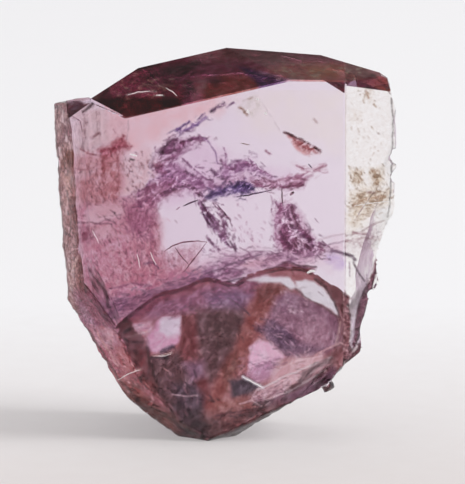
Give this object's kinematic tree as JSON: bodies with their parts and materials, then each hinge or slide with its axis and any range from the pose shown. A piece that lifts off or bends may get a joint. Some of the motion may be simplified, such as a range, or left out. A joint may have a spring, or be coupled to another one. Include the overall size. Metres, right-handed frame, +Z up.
{
  "type": "magnesio-axinite crystal",
  "caption": "Gem-clear lilac axinite crystal: a wedge-shaped block with flat growth faces, a broken left end, shell-shaped scars low in front and a small flat foot",
  "frame": {"origin": "under the middle of the crystal's box, on the surface the foot stands on", "axes": "+Z up from the foot to the ridge, +Y from the broad front face to the back, +X from the broken end to the thin right edge"},
  "size_m": [0.0136, 0.0068, 0.0155],
  "materials": {
    "crystal": "glossy growth faces, hackly breaks"
  },
  "bodies": {
    "root": {"crystal": "crystal"}
  },
  "joints": []
}
